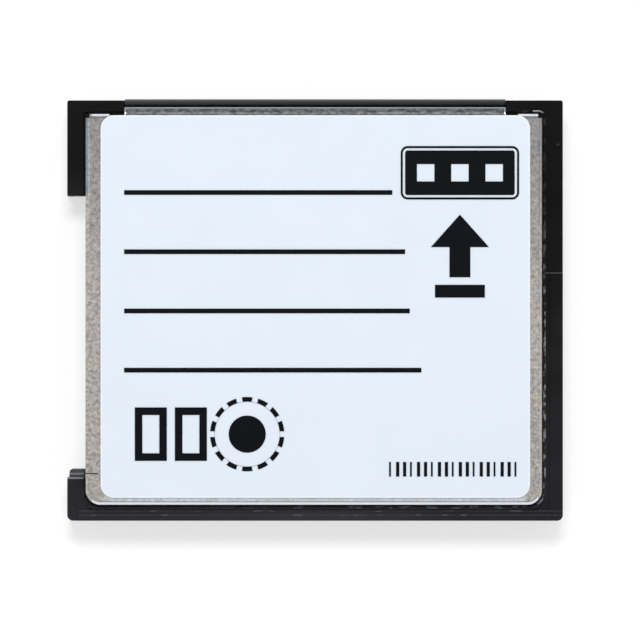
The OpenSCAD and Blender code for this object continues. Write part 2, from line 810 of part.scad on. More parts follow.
module connector_housing() {
    lip_y = half_l - housing_lip;
    face_chamfer = 0.1;
    under_tongue = 0.1;
    groove_y = tongue_y - under_tongue;
    groove_z = rail_t - tip_groove;
    color("#2a2a2e") difference() {
        union() {
            along_x(-housing_w / 2, housing_w / 2) polygon([
                [housing_y0, sheet_t], [lip_y, sheet_t], [lip_y, 0], [half_l - face_chamfer, 0],
                [half_l, face_chamfer], [half_l, rail_t - face_chamfer], [half_l - face_chamfer, rail_t],
                [lip_y, rail_t], [lip_y, groove_z], [groove_y, groove_z], [groove_y, rail_t - sheet_t],
                [housing_y0, rail_t - sheet_t]
            ]);
            housing_ears(0);
        }
        for (z = [row_mid_z - pitch / 2, row_mid_z + pitch / 2]) {
            for (i = [0:row_count - 1])
                translate([row_x(i) - cavity_w / 2, housing_y0 - cut, z - cavity_w / 2])
                    cube([cavity_w, housing_d + 2 * cut, cavity_w]);
            row_lead_ins(z);
        }
    }
}

// Side view of one upper contact: a fork that grips the pin, and a tail down to the board
module contact_section() {
    z = row_mid_z + pitch / 2;
    back_y = housing_y0 + 0.4;
    fork_y = back_y + 1.3;
    tip_y = half_l - lead_in - 0.45;
    grip_y = tip_y - 0.45;
    grip_gap = 0.05;
    tip_gap = 0.12;
    prong = 0.11;
    strip = 0.14;
    half = cavity_w / 2;
    foot_z = board_top + strip / 2;
    foot_y = board_y1 - 0.35;
    bend_y = housing_y0 - 0.1;
    for (side = [-1, 1]) polygon([
        [fork_y, z + side * (half - strip)], [grip_y, z + side * grip_gap], [tip_y, z + side * tip_gap],
        [tip_y, z + side * (tip_gap + prong)], [grip_y, z + side * (grip_gap + prong)],
        [fork_y, z + side * half]
    ]);
    rect([back_y, z - half], [fork_y, z + half]);
    ribbon([[foot_y - foot_l, foot_z], [foot_y, foot_z], [bend_y, z], [back_y, z]], strip);
}

module contact_row() {
    for (i = [0:row_count - 1])
        along_x(row_x(i) - contact_w / 2, row_x(i) + contact_w / 2) contact_section();
}

module upper_contacts() {
    color("#c9a64b") contact_row();
}

// The lower row is the upper one turned over about the board's mid-plane.
module lower_contacts() {
    color("#c9a64b") translate([0, 0, 2 * row_mid_z]) mirror([0, 0, 1]) contact_row();
}

module circuit_board() {
    color("#1f5b3a") difference() {
        translate([0, 0, board_z]) linear_extrude(board_t) rect([board_x0, board_y0], [board_x1, board_y1]);
        for (p = peg_places) translate([p.x, p.y, board_z - cut])
            cylinder(h = board_t + 2 * cut, d = peg_d + peg_play);
    }
}

// Places of the tall parts, in a row along the board's right edge
strip_x = board_x1 - strip_inset;
function strip_y(i) = slot_mid + (i - 1.5) * strip_pitch;

module bridge_chip() {
    dimple_d = 0.8;
    dimple_h = 0.1;
    dimple_inset = 1;
    color("#232426") translate([0, slot_mid, board_z - chip_t]) difference() {
        translate([-chip_w / 2, -chip_w / 2, 0]) cube([chip_w, chip_w, chip_t]);
        translate([dimple_inset - chip_w / 2, chip_w / 2 - dimple_inset, -cut])
            cylinder(h = cut + dimple_h, d = dimple_d);
    }
}

// A block centred in X and Y that stands on Z = 0
module stand(size) {
    translate([-size.x / 2, -size.y / 2, 0]) cube(size);
}

module oscillator_crystal() {
    base_h = 0.3;
    base_rim = 0.25;
    can_w = crystal_w - 2 * base_rim;
    can_l = crystal_l - 2 * base_rim;
    color("#c7c9cb") translate([strip_x, strip_y(1), board_top]) {
        stand([crystal_w, crystal_l, base_h]);
        stand([can_w, can_l, crystal_h]);
    }
}

// The regulator's body stands this far above the board, on its leads
reg_lift = 0.1;

module voltage_regulator() {
    color("#232426") translate([strip_x, strip_y(3), board_top + reg_lift]) stand([reg_w, reg_l, reg_h]);
}

module regulator_leads() {
    lead_t = 0.12;
    lead_w = 0.4;
    lead_pitch = 0.95;
    lead_out = 0.6;
    shoulder = 0.2;
    heel = 0.32;
    foot_z = board_top + lead_t / 2;
    exit_z = board_top + reg_lift + reg_h / 2;
    path = [[0, exit_z], [shoulder, exit_z], [heel, foot_z], [lead_out, foot_z]];
    color("#c7c9cb") translate([strip_x, strip_y(3), 0]) for (side = [0, 1], i = side ? [-1, 1] : [-1:1])
        mirror([side, 0, 0]) translate([reg_w / 2, i * lead_pitch, 0])
            along_y(-lead_w / 2, lead_w / 2) ribbon(path, lead_t);
}

module tantalum_capacitor() {
    color("#c98b2e") translate([strip_x, strip_y(2), board_top]) stand([tantalum_w, tantalum_l, tantalum_h]);
}

// A chip capacitor or resistor of height h, with end caps a little proud of its body
module chip_part(h) {
    proud = 0.04;
    stand([small_l - 2 * end_cap_l, small_w - 2 * proud, h - proud]);
    for (side = [-1, 1]) translate([side * (small_l - end_cap_l) / 2, 0, 0]) stand([end_cap_l, small_w, h]);
}

module filter_capacitors() {
    low_y = slot_mid - chip_w / 2 - low_cap_gap - small_w / 2;
    color("#b49a78") {
        for (i = [-1:1]) translate([strip_x + i * top_cap_pitch, strip_y(0), board_top])
            rotate([0, 0, 90]) chip_part(small_cap_h);
        for (i = [-1.5:1.5]) translate([i * low_cap_pitch, low_y, board_z - small_cap_h])
            chip_part(small_cap_h);
    }
}

module pull_up_resistors() {
    row_y = housing_y0 - res_gap - small_l / 2;
    color("#1d1e20") for (i = [-3.5:3.5]) translate([i * res_pitch, row_y, board_z - small_res_h])
        rotate([0, 0, 90]) chip_part(small_res_h);
}

// Position of card contact i across the slot: eight at one spacing, and the last closer
pads_off = -0.9;
function pad_y(i) = slot_mid + pads_off - (7 * card_pitch + last_pitch) / 2 + i * card_pitch
    - (i > 7 ? card_pitch - last_pitch : 0);

// Where the springs touch the card, and where they start and end
tip_l = 0.9;
tail_l = 1.4;
touch_x = card_end - touch_depth;
tip_x = touch_x - tip_l;
tail_x = stop_x1 + tail_l;
root_lift = 0.1;
spring_z = board_top + root_lift + spring_t / 2;

// Card detect switch, in the end wall's recess: its two blades and their height
detect_y = slot_y1 - 2.5;
post_y = slot_y1 - 0.8;
blade_x = stop_x1 - 0.4;
detect_z0 = floor_z + (card_t - detect_h) / 2;
detect_z1 = detect_z0 + detect_h;

// Write protect blade: its middle and its height
protect_x = card_end - protect_depth;
protect_z0 = floor_z + (card_t - protect_h) / 2;
protect_z1 = protect_z0 + protect_h;

// Slot through the end wall for a flat spring of width w at y, z
module root_slot(x0, y, z, w, h) {
    block([x0, y - w / 2 - strip_fit, z - strip_fit],
        [stop_x1 + cut, y + w / 2 + strip_fit, z + h + strip_fit]);
}

module card_insulator() {
    side_play = 0.05;
    rail_w = 1.6;
    rail_x0 = board_x0 + 0.3;
    base_x0 = tip_x - 1;
    bay_x0 = tip_x - 0.4;
    bay_play = 0.15;
    bay_w = spring_w + 2 * bay_play;
    lo_y = slot_y0 + side_play;
    hi_y = slot_y1 - side_play;
    wall_top = shell_z - 0.05;
    recess_x1 = stop_x1 - 0.35;
    recess_lo = [stop_x0 - cut, detect_y - 0.5, floor_z + 0.2];
    recess_hi = [recess_x1, hi_y - 0.4, wall_top + cut];
    color("#1f2022") difference() {
        union() {
            block([rail_x0, lo_y, board_top], [stop_x0, lo_y + rail_w, floor_z]);
            block([rail_x0, hi_y - rail_w, board_top], [stop_x0, hi_y, floor_z]);
            block([base_x0, lo_y, board_top], [stop_x0, hi_y, floor_z]);
            block([stop_x0, lo_y, board_top], [stop_x1, hi_y, wall_top]);
        }
        // Bays where the springs bend, and the slots that hold their roots
        for (i = [0:8]) {
            block([bay_x0, pad_y(i) - bay_w / 2, board_top - cut],
                [stop_x0, pad_y(i) + bay_w / 2, floor_z + cut]);
            root_slot(stop_x0 - fit, pad_y(i), spring_z - spring_t / 2, spring_w, spring_t);
        }
        // Recess for the card detect switch, with slots for its two roots
        block(recess_lo, recess_hi);
        for (y = [detect_y, post_y])
            root_slot(recess_x1 - fit, y, detect_z0, spring_t, wall_top + cut - detect_z0);
    }
}

module card_contacts() {
    foot_z = board_top + spring_t / 2;
    tip_drop = 0.02;
    knee_x = stop_x0 - 0.2;
    heel_x = stop_x1 + 0.3;
    path = [
        [tip_x, floor_z - tip_drop], [touch_x, floor_z + spring_rise - spring_t / 2], [knee_x, spring_z],
        [heel_x, spring_z], [heel_x + 0.3, foot_z], [tail_x, foot_z]
    ];
    color("#c9a64b") for (i = [0:8])
        along_y(pad_y(i) - spring_w / 2, pad_y(i) + spring_w / 2) ribbon(path, spring_t);
}

// Root of a switch blade: it drops to the board behind the end wall and ends in a foot
module blade_root(y) {
    root_x0 = stop_x1 + 0.2;
    root_x1 = root_x0 + 0.5;
    foot_out = 0.6;
    lo_y = y - spring_t / 2;
    hi_y = y + spring_t / 2;
    block([root_x0, lo_y, board_top], [root_x1, hi_y, detect_z1]);
    block([root_x0, lo_y, board_top], [root_x1, y + foot_out, board_top + spring_t]);
    block([blade_x, lo_y, detect_z0], [root_x1, hi_y, detect_z1]);
}

module card_detect_spring() {
    color("#c9a64b") {
        blade_root(detect_y);
        leaf([
            [blade_x + 0.1, detect_y], [blade_x, detect_y], [stop_x0 - 0.1, detect_y + 0.7],
            [stop_x0 + 0.3, detect_y + 1.45]
        ], spring_t, detect_z0, detect_z1);
    }
}

module card_detect_post() {
    stub_l = 0.3;
    color("#c9a64b") {
        blade_root(post_y);
        block([blade_x - stub_l, post_y - spring_t / 2, detect_z0],
            [blade_x, post_y + spring_t / 2, detect_z1]);
    }
}

module socket_shell() {
    shell_x0 = board_x0 + 0.2;
    shell_x1 = stop_x1 - 0.1;
    foot_half = shell_foot_l / 2;
    lo_y = slot_y0 - shell_t;
    hi_y = slot_y1 + shell_t;
    window_x = (shell_x0 + card_end) / 2;
    protect_gap = 0.15;
    protect_room = 0.4;
    protect_half = protect_lead + protect_room;
    color("#b7b8ba") difference() {
        union() {
            block([shell_x0, lo_y, shell_z], [shell_x1, hi_y, pan_inner_z]);
            block([shell_x0, lo_y, board_top], [shell_x1, slot_y0, pan_inner_z]);
            block([shell_x0, slot_y1, board_top], [shell_x1, hi_y, pan_inner_z]);
            for (x = [shell_x0 + shell_foot_end, (shell_x0 + shell_x1) / 2, shell_x1 - shell_foot_end])
                translate([x - foot_half, 0, board_top]) {
                    block([0, slot_y0 - shell_foot_out, 0], [shell_foot_l, slot_y0, shell_t]);
                    block([0, slot_y1, 0], [shell_foot_l, slot_y1 + shell_foot_out, shell_t]);
                }
        }
        translate([window_x - window_l / 2, slot_mid - window_w / 2, shell_z - cut])
            cube([window_l, window_w, shell_t + 2 * cut]);
        block([protect_x - protect_half, lo_y - cut, protect_z0 - protect_gap],
            [protect_x + protect_half, slot_y0 + cut, protect_z1 + protect_gap]);
    }
}

module write_protect_spring() {
    rest_y = slot_y0 - shell_t - 0.35;
    bend_x = protect_x - protect_lead;
    root_x = bend_x - protect_arm;
    free_x = protect_x + protect_tail;
    foot_out = 0.35;
    color("#c9a64b") {
        leaf([
            [root_x, rest_y], [bend_x, rest_y], [protect_x, slot_y0 + 0.25], [free_x, slot_y0 - 0.1]
        ], spring_t, protect_z0, protect_z1);
        translate([root_x, rest_y, board_top]) {
            block([0, -spring_t / 2, 0], [protect_root, spring_t / 2, protect_z1 - board_top]);
            block([0, -foot_out, 0], [protect_root, spring_t / 2, spring_t]);
        }
    }
}

rail_frame();
front_cover();
back_cover();
back_label();
writing_lines();
label_marks();
connector_housing();
upper_contacts();
lower_contacts();
circuit_board();
bridge_chip();
oscillator_crystal();
voltage_regulator();
regulator_leads();
tantalum_capacitor();
filter_capacitors();
pull_up_resistors();
card_insulator();
card_contacts();
socket_shell();
card_detect_spring();
card_detect_post();
write_protect_spring();
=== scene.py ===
"""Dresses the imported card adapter: softened edges, real finishes, floor, light and camera."""

import math

import bpy
from bpy.props import FloatProperty, FloatVectorProperty, IntProperty, PointerProperty
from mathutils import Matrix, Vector


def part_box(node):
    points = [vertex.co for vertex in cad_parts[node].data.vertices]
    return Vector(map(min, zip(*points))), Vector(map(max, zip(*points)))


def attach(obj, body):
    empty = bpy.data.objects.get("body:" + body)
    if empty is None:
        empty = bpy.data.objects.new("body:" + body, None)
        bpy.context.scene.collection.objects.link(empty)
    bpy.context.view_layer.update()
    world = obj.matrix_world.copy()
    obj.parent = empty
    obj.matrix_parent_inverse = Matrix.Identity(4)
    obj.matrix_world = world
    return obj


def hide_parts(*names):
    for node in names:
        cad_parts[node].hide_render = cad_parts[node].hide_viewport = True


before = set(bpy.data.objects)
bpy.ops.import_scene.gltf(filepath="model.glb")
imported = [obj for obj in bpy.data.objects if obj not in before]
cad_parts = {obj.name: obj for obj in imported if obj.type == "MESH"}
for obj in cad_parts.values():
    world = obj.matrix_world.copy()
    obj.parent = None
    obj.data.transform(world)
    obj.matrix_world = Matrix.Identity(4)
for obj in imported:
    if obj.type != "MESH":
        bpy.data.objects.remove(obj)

bl_info = {
    "name": "Card Adapter Finish",
    "version": (1, 0, 0),
    "blender": (4, 5, 0),
    "location": "View3D > Sidebar > Adapter",
    "description": "Softens the edges of a card adapter and gives each piece its real finish",
    "category": "Object",
}

MM = 0.001
BODY = "root"

# On a softened piece closer points are merged, flatter faces joined and sharper edges rounded.
SAME_POINT = 1e-7
FLAT_ANGLE = math.radians(0.5)
SHARP_ANGLE = math.radians(35)


def linear(hex_colour):
    """Turns an sRGB hex colour into the linear colour that Blender works in."""
    channels = [int(hex_colour[i : i + 2], 16) / 255 for i in (1, 3, 5)]
    return tuple(c / 12.92 if c <= 0.04045 else ((c + 0.055) / 1.055) ** 2.4 for c in channels)


def colour(hex_colour, name, description):
    """A colour property whose default is written as an sRGB hex value."""
    return FloatVectorProperty(
        name=name,
        description=description,
        default=linear(hex_colour),
        size=3,
        min=0,
        max=1,
        subtype="COLOR",
    )


def length(millimetres, name, description, lowest=0):
    """A length property whose default and lowest value are written in millimetres."""
    return FloatProperty(
        name=name,
        description=description,
        default=millimetres * MM,
        min=lowest * MM,
        unit="LENGTH",
        precision=5,
    )


class AdapterSizes(bpy.types.PropertyGroup):
    """Radii of the softened edges, places that the finishes follow, and the picture's frame"""

    frame_edge: length(0.09, "Frame edge", "Radius of the moulded frame's edges")
    sheet_edge: length(0.05, "Sheet edge", "Radius that tumbling leaves on the sheet's cut edges")
    label_edge: length(0.035, "Label edge", "Radius of the die-cut edge of the label")
    housing_edge: length(0.06, "Housing edge", "Radius of the connector housing's edges")
    edge_steps: IntProperty(
        name="Edge steps", description="Facets across each softened edge", default=2, min=1, max=6
    )
    seat_gap: length(0.25, "Seat gap", "Gap between the pan and the rim of its seat in the frame")
    pan_rear_radius: length(1.25, "Pan rear corner", "Corner radius of the pan at the trailing edge")
    pan_front_radius: length(0.3, "Pan front corner", "Corner radius of the pan beside the connector")
    pan_bend: length(0.35, "Pan bend", "Outside radius of the bends round the pan")
    tongue_reach: length(0.6, "Tongue reach", "How far the pan's tongue runs out over the connector")
    tongue_width: length(32.9, "Tongue width", "Width of the tongue over the connector")
    rail_height: length(3.3, "Rail height", "Height of the side rails and of the tongue")
    lip_width: length(0.9, "Lip width", "Width of the finger lip")
    slot_rear: length(3.75, "Slot rear", "Trailing edge to the rear end of the card slot")
    slot_front: length(28.05, "Slot front", "Trailing edge to the front end of the card slot")
    arm_step: length(0.35, "Arm step", "Width of each step beside the slot")
    arm_chamfer: length(0.12, "Arm chamfer", "Chamfer on those steps")
    step_from_front: length(14.9, "Rail step", "Front of the frame to the raised strip on the right rail")
    label_radius: length(1.15, "Label corner", "Corner radius of the label")
    view_width: length(55.12, "View width", "Width that the picture takes in at the label")
    camera_height: length(600, "Camera height", "Distance from the label to the camera")
    view_x: length(0.43, "View centre across", "Picture's centre to the right of the part's", lowest=-20)
    view_y: length(-0.26, "View centre along", "Picture's centre forward of the part's", lowest=-20)


class AdapterColours(bpy.types.PropertyGroup):
    """Colours of the finishes"""

    plastic: colour("#070709", "Frame plastic", "Black of the moulded frame")
    # Greyer black in random patches, and a painted sheen towards the rear left.
    patch_and_sheen_grey: colour("#2A292C", "Handled plastic", "Greyer black at the rear left, where fingers hold it")
    # Pale grey of real scuffs, and of the painted highlights and sheen on the frame.
    scuff_and_highlight_grey: colour("#B0B1B6", "Scuffed plastic", "Pale grey that rubbing leaves on the frame's edges")
    steel: colour("#BEB9B4", "Stainless sheet", "Colour of the satin covers")
    # Painted highlight on the covers' bends; darkened, it is also the painted shade on the tongue.
    painted_highlight: colour("#E2E6EE", "Burnished steel", "Bright bends of the covers")
    film: colour("#E8F1FB", "Label film", "Cool white of the label")
    # Painted highlight along the label's cut edge.
    film_edge_highlight: colour("#F7FAFE", "Cut film", "Paler cut edge of the label")
    ink: colour("#05080E", "Ink", "Screen-printed black")
    connector: colour("#19181D", "Connector plastic", "Dark grey of the connector housing")
    gold: colour("#E3B45A", "Gold", "Plating of the contacts")
    mask: colour("#0E5A3A", "Solder mask", "Green lacquer on the circuit board")
    trace: colour("#2C7F50", "Traces", "Lacquer over the copper traces")
    tin: colour("#D6D8DA", "Tin", "Bright plated metal")
    epoxy: colour("#141416", "Chip epoxy", "Body of the chips")
    amber: colour("#D89A2A", "Capacitor epoxy", "Body of the moulded capacitor")
    ceramic: colour("#B79A76", "Ceramic", "Body of the small capacitors")
    floor: colour("#FBFBFB", "Floor", "Pale floor under the part")


def add_node(tree, kind, **values):
    """Adds one node. Each value is one of its settings, or what an input holds or is linked to.

    An input goes by its name, or by its number after an i. A node stands for its first output in use.
    """
    node = tree.nodes.new("ShaderNode" + kind)
    for key, value in values.items():
        if hasattr(node, key):
            setattr(node, key, value)
            continue
        socket = node.inputs[int(key[1:]) if key[1:].isdigit() else key.replace("_", " ")]
        if isinstance(value, bpy.types.Node):
            value = next(output for output in value.outputs if output.enabled)
        if isinstance(value, bpy.types.NodeSocket):
            tree.links.new(value, socket)
        elif socket.type == "RGBA":
            socket.default_value = (*value, 1)
        else:
            socket.default_value = value
    return node


def fresh_material(name):
    """An empty node material and its tree."""
    material = bpy.data.materials.new(name)
    material.use_nodes = True
    material.node_tree.nodes.clear()
    return material, material.node_tree


def per_metre(size_mm):
    """Scale of a pattern on object coordinates whose features are this many millimetres apart."""
    return 1 / (size_mm * MM)


def tinted(base, red, green, blue):
    """A colour with each channel made weaker or stronger."""
    return (base[0] * red, base[1] * green, base[2] * blue)


def shaded(base, change):
    """A colour made lighter by a share of itself, or darker by a negative one."""
    return tuple(min(1.0, channel * (1 + change)) for channel in base)


def pan_outline(sizes, gap=0.0):
    """Plan of the back pan without its tongue, grown by a gap: its corners, rear and front radius."""
    low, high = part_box("back_cover")
    return (
        (low[0] - gap, low[1] - gap),
        (high[0] + gap, high[1] - sizes.tongue_reach + gap),
        sizes.pan_rear_radius + gap,
        sizes.pan_front_radius + gap,
    )


def edge_distance(tree, place, low, high, rear_radius, front_radius):
    """How far a point lies outside a rounded outline in plan; inside, down to minus the corner radius."""
    along = add_node(tree, "SeparateXYZ", Vector=place).outputs["Y"]
    rear = add_node(tree, "Math", operation="LESS_THAN", i0=along, i1=0.0)
    radius = add_node(
        tree, "Math", operation="MULTIPLY_ADD", i0=rear, i1=rear_radius - front_radius, i2=front_radius
    )
    middle = ((low[0] + high[0]) / 2, (low[1] + high[1]) / 2, 0.0)
    # A metre up and down, so that height never counts.
    half = ((high[0] - low[0]) / 2, (high[1] - low[1]) / 2, 1.0)
    centred = add_node(tree, "VectorMath", operation="SUBTRACT", i0=place, i1=middle)
    folded = add_node(tree, "VectorMath", operation="ABSOLUTE", i0=centred)
    past = add_node(tree, "VectorMath", operation="SUBTRACT", i0=folded, i1=half)
    grown = add_node(tree, "VectorMath", operation="ADD", i0=past, i1=radius)
    kept = add_node(tree, "VectorMath", operation="MAXIMUM", i0=grown, i1=(0.0, 0.0, 0.0))
    reach = add_node(tree, "VectorMath", operation="LENGTH", i0=kept)
    return add_node(tree, "Math", operation="SUBTRACT", i0=reach, i1=radius)


def rim_highlights(tree, place, sizes):
    """Painted highlights on the rim of the pan's seat: dashes on the right, a bright corner and a grey
    line at the rear.
    """
    across, along, up = add_node(tree, "SeparateXYZ", Vector=place).outputs
    seat = pan_outline(sizes, sizes.seat_gap)
    seat_right, seat_front = seat[1]
    past_rim = edge_distance(tree, place, *seat)

    half_width = 0.09 * MM
    rim = add_node(tree, "Math", operation="COMPARE", i0=past_rim, i1=0.0, i2=half_width)
    dashes = add_node(tree, "TexNoise", Vector=place, Scale=per_metre(0.8), Detail=2.0)
    breaks = add_node(
        tree, "MapRange", Value=dashes, From_Min=0.48, From_Max=0.6, To_Min=0.04, To_Max=0.8
    )
    rightward = add_node(
        tree, "MapRange", Value=across, From_Min=-18 * MM, From_Max=19 * MM, To_Min=0.02, To_Max=1.0
    )
    rearward = add_node(
        tree, "MapRange", Value=along, From_Min=-2 * MM, From_Max=9 * MM, To_Min=1.0, To_Max=0.12
    )
    for share in (breaks, rightward, rearward):
        rim = add_node(tree, "Math", operation="MULTIPLY", i0=rim, i1=share)

    # The painted glint on the corner is bright for 0.9 mm of its front edge.
    glint_middle, glint_reach = seat_right - 0.55 * MM, 0.45 * MM
    glint = add_node(tree, "Math", operation="COMPARE", i0=across, i1=glint_middle, i2=glint_reach)
    at_front = add_node(tree, "Math", operation="GREATER_THAN", i0=along, i1=seat_front - 0.15 * MM)
    thin_rim = add_node(tree, "Math", operation="COMPARE", i0=past_rim, i1=0.02 * MM, i2=0.07 * MM)
    for mask in (at_front, thin_rim):
        glint = add_node(tree, "Math", operation="MULTIPLY", i0=glint, i1=mask)

    rear_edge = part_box("rail_frame")[0][1] + 1.3 * MM
    faint = 0.11
    grey_line = add_node(tree, "Math", operation="COMPARE", i0=past_rim, i1=0.11 * MM, i2=0.13 * MM)
    at_rear = add_node(tree, "Math", operation="LESS_THAN", i0=along, i1=rear_edge)
    for share in (at_rear, faint):
        grey_line = add_node(tree, "Math", operation="MULTIPLY", i0=grey_line, i1=share)

    for mark in (glint, grey_line):
        rim = add_node(tree, "Math", operation="MAXIMUM", i0=rim, i1=mark)
    upper = add_node(tree, "Math", operation="GREATER_THAN", i0=up, i1=sizes.rail_height / 2)
    return add_node(tree, "Math", operation="MULTIPLY", i0=rim, i1=upper)


def lip_sheen_and_highlights(tree, place, sizes):
    """Finger lip: a painted sheen on its greyer top, and two faint painted highlight lines broken by
    nicks half a millimetre long.
    """
    across, along, up = add_node(tree, "SeparateXYZ", Vector=place).outputs
    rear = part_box("rail_frame")[0][1]
    outside = add_node(tree, "Math", operation="LESS_THAN", i0=along, i1=rear + sizes.lip_width)
    above_rail = sizes.rail_height + 0.08 * MM
    above = add_node(tree, "Math", operation="GREATER_THAN", i0=up, i1=above_rail)
    on_lip = add_node(tree, "Math", operation="MULTIPLY", i0=outside, i1=above)

    # The painted sheen on its top is strongest 2 mm left of its middle.
    shifted = add_node(tree, "Math", operation="ADD", i0=across, i1=2 * MM)
    off_middle = add_node(tree, "Math", operation="ABSOLUTE", i0=shifted)
    polish_and_sheen = add_node(tree, "MapRange", Value=off_middle, From_Max=16 * MM, To_Min=0.032, To_Max=0.0)
    paleness = add_node(tree, "Math", operation="MULTIPLY", i0=on_lip, i1=polish_and_sheen)

    # The painted highlight lines run along its inner edge and its crest.
    drawn_out = add_node(tree, "VectorMath", operation="MULTIPLY", i0=place, i1=(0.5, 1.0, 1.0))
    nicks = add_node(tree, "TexNoise", Vector=drawn_out, Scale=per_metre(0.5), Detail=1.0)
    half_width = 0.055 * MM
    for inward, faint, nick in ((sizes.lip_width, 0.05, 0.25), (0.6 * sizes.lip_width, 0.045, 0.2)):
        middle = rear + inward - 0.05 * MM
        line = add_node(tree, "Math", operation="COMPARE", i0=along, i1=middle, i2=half_width)
        level = add_node(
            tree, "MapRange", Value=nicks, From_Min=0.6, From_Max=0.74, To_Min=faint, To_Max=nick
        )
        for share in (level, on_lip):
            line = add_node(tree, "Math", operation="MULTIPLY", i0=line, i1=share)
        paleness = add_node(tree, "Math", operation="MAXIMUM", i0=paleness, i1=line)
    return paleness


def slot_step_highlights(tree, place, sizes):
    """Painted highlights on the steps beside the slot, most of all on their chamfers, less further down.
    """
    across, along, up = add_node(tree, "SeparateXYZ", Vector=place).outputs
    first_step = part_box("rail_frame")[0][1] + sizes.slot_rear
    second_step = first_step + sizes.arm_step
    seat_left = pan_outline(sizes, sizes.seat_gap)[0][0]
    beside = add_node(tree, "Math", operation="LESS_THAN", i0=across, i1=seat_left)
    paleness = add_node(tree, "Math", operation="COMPARE", i0=along, i1=second_step, i2=sizes.arm_step)
    faint = 0.1
    for share in (beside, faint):
        paleness = add_node(tree, "Math", operation="MULTIPLY", i0=paleness, i1=share)
    higher = add_node(
        tree,
        "MapRange",
        Value=up,
        From_Min=sizes.rail_height - 1.4 * MM,
        From_Max=sizes.rail_height - 0.2 * MM,
        To_Min=0.15,
        To_Max=1.0,
    )
    half_width = sizes.arm_chamfer / 2
    for edge, strength in ((second_step, 0.9), (first_step, 0.4)):
        middle, reach = edge - half_width, half_width + 0.02 * MM
        chamfer = add_node(tree, "Math", operation="COMPARE", i0=along, i1=middle, i2=reach)
        for share in (beside, higher, strength):
            chamfer = add_node(tree, "Math", operation="MULTIPLY", i0=chamfer, i1=share)
        paleness = add_node(tree, "Math", operation="MAXIMUM", i0=paleness, i1=chamfer)
    return paleness


def strip_end_highlight(tree, place, sizes):
    """Painted highlight: a faint line where the raised strip on the right rail ends."""
    _, along, up = add_node(tree, "SeparateXYZ", Vector=place).outputs
    strip_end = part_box("rail_frame")[1][1] - sizes.step_from_front
    half_width, faint = 0.06 * MM, 0.12
    line = add_node(tree, "Math", operation="COMPARE", i0=along, i1=strip_end, i2=half_width)
    on_top = add_node(tree, "Math", operation="GREATER_THAN", i0=up, i1=sizes.rail_height - 0.02 * MM)
    for share in (on_top, faint):
        line = add_node(tree, "Math", operation="MULTIPLY", i0=line, i1=share)
    return line


def frame_scuffs_and_highlights(tree, place, sizes):
    """How pale the frame's plastic is at each point, from real scuffs and from painted highlights and
    sheen; the strongest mark decides.
    """
    # Scuffs all over it: sparse specks a quarter of a millimetre across.
    grit = add_node(tree, "TexNoise", Vector=place, Scale=per_metre(0.7), Detail=1.0)
    scuffs_and_highlights = add_node(tree, "MapRange", Value=grit, From_Min=0.76, From_Max=0.84, To_Min=0.0, To_Max=0.2)
    for paleness in (rim_highlights, lip_sheen_and_highlights, slot_step_highlights, strip_end_highlight):
        scuffs_and_highlights = add_node(tree, "Math", operation="MAXIMUM", i0=scuffs_and_highlights, i1=paleness(tree, place, sizes))
    return scuffs_and_highlights


def moulded_plastic(name, base, dull, roughness, grain=0.22, pale=None, paleness=None, gloss_level=0.5):
    """Moulded thermoplastic from a spark-eroded tool: an even grain that breaks up every highlight."""
    material, tree = fresh_material(name)
    place = add_node(tree, "TexCoord").outputs["Object"]
    # The real grain is finer; it is drawn as coarse as it needs to be to show.
    grains = add_node(
        tree, "TexNoise", Vector=place, Scale=per_metre(grain), Detail=3.0, Roughness=0.55
    )
    grain_depth = 0.006 * MM
    flow = add_node(tree, "TexNoise", Vector=place, Scale=per_metre(7), Detail=2.0)
    # The duller colour comes in random patches; more of it towards the rear left is a painted sheen,
    # lighter where the light falls.
    rear_left = (-0.26, -1.0, 0.0)
    toward_rear_left = add_node(tree, "VectorMath", operation="DOT_PRODUCT", i0=place, i1=rear_left)
    painted_sheen_share = add_node(
        tree, "MapRange", Value=toward_rear_left, From_Min=-17 * MM, From_Max=24 * MM, To_Min=-0.86, To_Max=0.54
    )
    share = add_node(tree, "Math", operation="ADD", use_clamp=True, i0=painted_sheen_share, i1=flow)
    shade = add_node(tree, "Mix", data_type="RGBA", Factor=share, i6=base, i7=dull)
    # Paleness from real scuffs and painted highlights, where one is given.
    if paleness:
        shade = add_node(tree, "Mix", data_type="RGBA", Factor=paleness(tree, place), i6=shade, i7=pale)
    gloss = add_node(tree, "MapRange", Value=flow, To_Min=roughness - 0.06, To_Max=roughness + 0.08)
    bump = add_node(tree, "Bump", Strength=0.6, Distance=grain_depth, Height=grains)
    shader = add_node(
        tree,
        "BsdfPrincipled",
        Base_Color=shade,
        Roughness=gloss,
        IOR=1.52,
        Specular_IOR_Level=gloss_level,
        Normal=bump,
    )
    add_node(tree, "OutputMaterial", Surface=shader)
    return material


